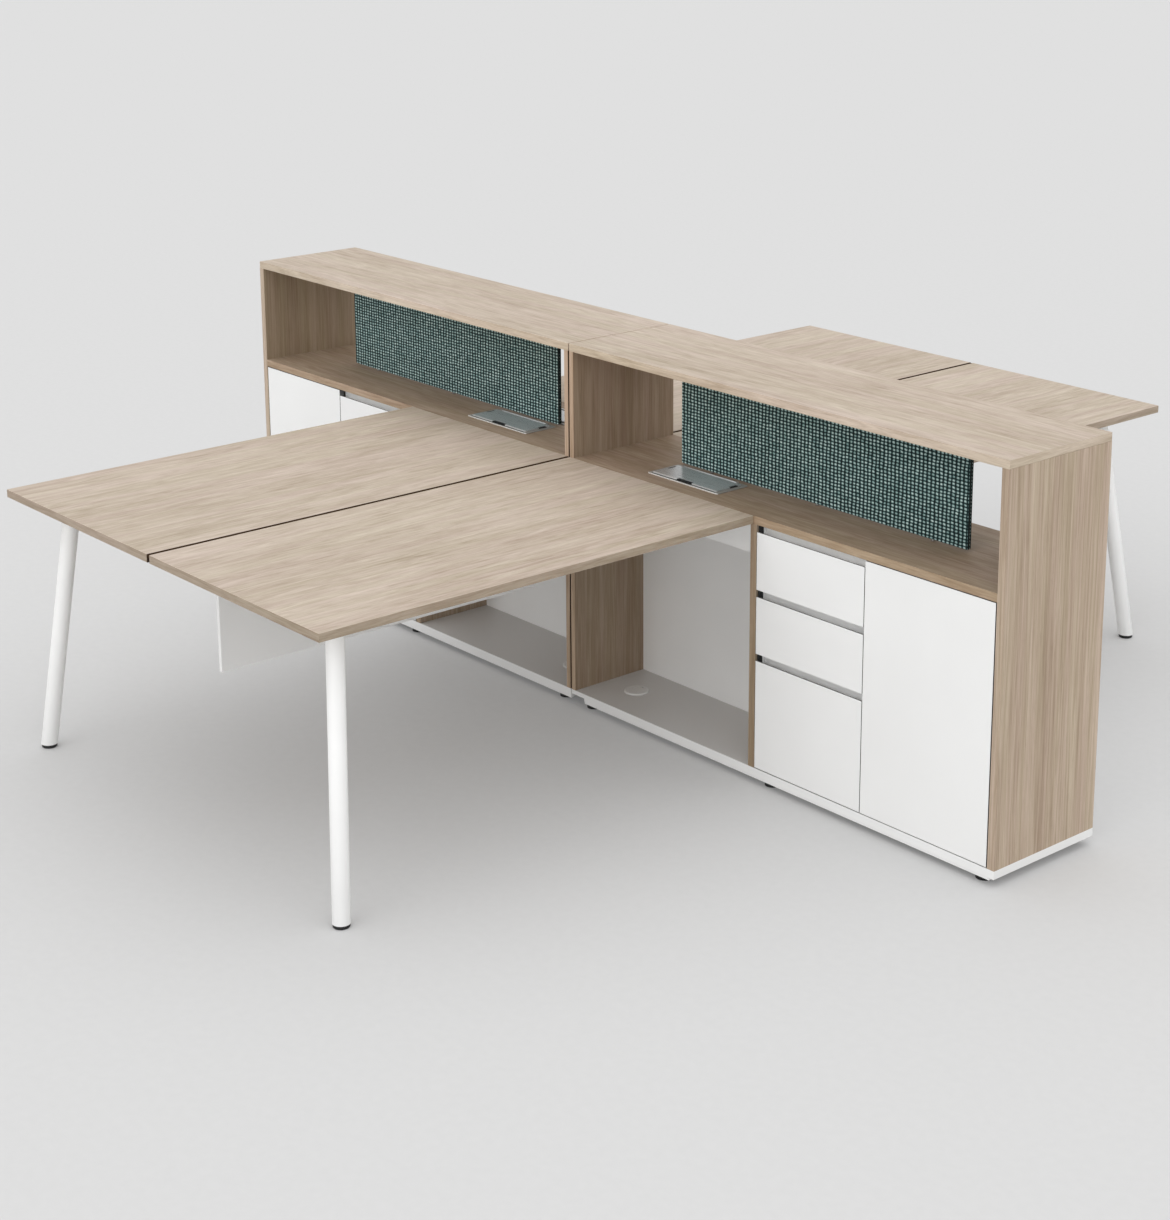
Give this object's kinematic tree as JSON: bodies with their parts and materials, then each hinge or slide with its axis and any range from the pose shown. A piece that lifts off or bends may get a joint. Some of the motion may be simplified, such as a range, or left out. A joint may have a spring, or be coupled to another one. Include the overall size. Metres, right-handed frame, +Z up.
{
  "type": "four-person desk cluster",
  "caption": "Office desk cluster: a low storage spine with drawers, cupboards, cable bays and fabric screens, with splayed-leg desks on both of its long sides.",
  "frame": {"origin": "on the floor at the middle of the spine, under the joint of its two units", "axes": "+X along the spine to the right, +Y to the far desks, +Z up; drawers and doors face -Y"},
  "size_m": [3.204, 3.081, 1.08],
  "materials": {
    "oak_board": "matt grained laminate",
    "white_board": "matt laminate",
    "screen_fabric": "woven",
    "white_steel": "powder coat",
    "aluminium": "anodised",
    "zinc_steel": "zinc plated",
    "black_plastic": "moulded",
    "grey_plastic": "moulded",
    "power_metal": "brushed"
  },
  "bodies": {
    "spine_and_desks": {"end_panel_left": "oak_board", "end_panel_right": "oak_board", "centre_panels": "oak_board", "bay_partitions": "oak_board", "shelf_left": "oak_board", "shelf_right": "oak_board", "top_board_left": "oak_board", "top_board_right": "oak_board", "desktop_near_left": "oak_board", "desktop_near_right": "oak_board", "desktop_far_left": "oak_board", "desktop_far_right": "oak_board", "base_board_left": "white_board", "base_board_right": "white_board", "cupboard_dividers": "white_board", "bay_back_panels": "white_board", "storage_back_panels": "white_board", "cupboard_shelves": "white_board", "modesty_panels": "white_board", "screen_left": "screen_fabric", "screen_right": "screen_fabric", "desk_legs": "white_steel", "desk_frames": "white_steel", "cable_trays": "white_steel", "carcass_fixings": "zinc_steel", "drawer_runners": "zinc_steel", "door_pivots": "zinc_steel", "screen_mounts": "zinc_steel", "levelling_feet": "black_plastic", "leg_feet": "black_plastic", "socket_modules": "black_plastic", "cable_grommets": "grey_plastic", "latch_housings": "grey_plastic", "power_tubs": "power_metal"},
    "drawer_left_upper": {"drawer_front_left_upper": "white_board", "drawer_box_left_upper": "white_board", "drawer_pull_left_upper": "aluminium"},
    "drawer_left_middle": {"drawer_front_left_middle": "white_board", "drawer_box_left_middle": "white_board", "drawer_pull_left_middle": "aluminium"},
    "drawer_left_lower": {"drawer_front_left_lower": "white_board", "drawer_box_left_lower": "white_board", "drawer_pull_left_lower": "aluminium"},
    "door_left": {"cupboard_door_left": "white_board"},
    "lid_near_left": {"power_lid_near_left": "power_metal"},
    "lid_far_left": {"power_lid_far_left": "power_metal"},
    "latch_left": {"latch_plunger_left": "grey_plastic"},
    "drawer_right_upper": {"drawer_front_right_upper": "white_board", "drawer_box_right_upper": "white_board", "drawer_pull_right_upper": "aluminium"},
    "drawer_right_middle": {"drawer_front_right_middle": "white_board", "drawer_box_right_middle": "white_board", "drawer_pull_right_middle": "aluminium"},
    "drawer_right_lower": {"drawer_front_right_lower": "white_board", "drawer_box_right_lower": "white_board", "drawer_pull_right_lower": "aluminium"},
    "door_right": {"cupboard_door_right": "white_board"},
    "lid_near_right": {"power_lid_near_right": "power_metal"},
    "lid_far_right": {"power_lid_far_right": "power_metal"},
    "latch_right": {"latch_plunger_right": "grey_plastic"}
  },
  "joints": [
    {"name": "drawer_left_upper_slide", "type": "slide", "parent": "spine_and_desks", "child": "drawer_left_upper", "axis": [0, -1, 0], "range_m": [0, 0.24]},
    {"name": "drawer_left_middle_slide", "type": "slide", "parent": "spine_and_desks", "child": "drawer_left_middle", "axis": [0, -1, 0], "range_m": [0, 0.24]},
    {"name": "drawer_left_lower_slide", "type": "slide", "parent": "spine_and_desks", "child": "drawer_left_lower", "axis": [0, -1, 0], "range_m": [0, 0.24]},
    {"name": "door_left_hinge", "type": "hinge", "parent": "spine_and_desks", "child": "door_left", "pos_m": [-1.5695, -0.183, 0.3875], "axis": [0, 0, -1], "range_deg": [0, 100]},
    {"name": "lid_near_left_hinge", "type": "hinge", "parent": "spine_and_desks", "child": "lid_near_left", "pos_m": [-0.412, -0.026, 0.7548], "axis": [-1, 0, 0], "range_deg": [0, 95]},
    {"name": "lid_far_left_hinge", "type": "hinge", "parent": "spine_and_desks", "child": "lid_far_left", "pos_m": [-0.412, 0.026, 0.7548], "axis": [1, 0, 0], "range_deg": [0, 95]},
    {"name": "latch_left_push", "type": "slide", "parent": "spine_and_desks", "child": "latch_left", "axis": [0, 1, 0], "range_m": [0, 0.003], "stiffness_N_per_m": 300},
    {"name": "drawer_right_upper_slide", "type": "slide", "parent": "spine_and_desks", "child": "drawer_right_upper", "axis": [0, -1, 0], "range_m": [0, 0.24]},
    {"name": "drawer_right_middle_slide", "type": "slide", "parent": "spine_and_desks", "child": "drawer_right_middle", "axis": [0, -1, 0], "range_m": [0, 0.24]},
    {"name": "drawer_right_lower_slide", "type": "slide", "parent": "spine_and_desks", "child": "drawer_right_lower", "axis": [0, -1, 0], "range_m": [0, 0.24]},
    {"name": "door_right_hinge", "type": "hinge", "parent": "spine_and_desks", "child": "door_right", "pos_m": [1.5695, -0.183, 0.3875], "axis": [0, 0, 1], "range_deg": [0, 100]},
    {"name": "lid_near_right_hinge", "type": "hinge", "parent": "spine_and_desks", "child": "lid_near_right", "pos_m": [0.412, -0.026, 0.7548], "axis": [-1, 0, 0], "range_deg": [0, 95]},
    {"name": "lid_far_right_hinge", "type": "hinge", "parent": "spine_and_desks", "child": "lid_far_right", "pos_m": [0.412, 0.026, 0.7548], "axis": [1, 0, 0], "range_deg": [0, 95]},
    {"name": "latch_right_push", "type": "slide", "parent": "spine_and_desks", "child": "latch_right", "axis": [0, 1, 0], "range_m": [0, 0.003], "stiffness_N_per_m": 300}
  ]
}
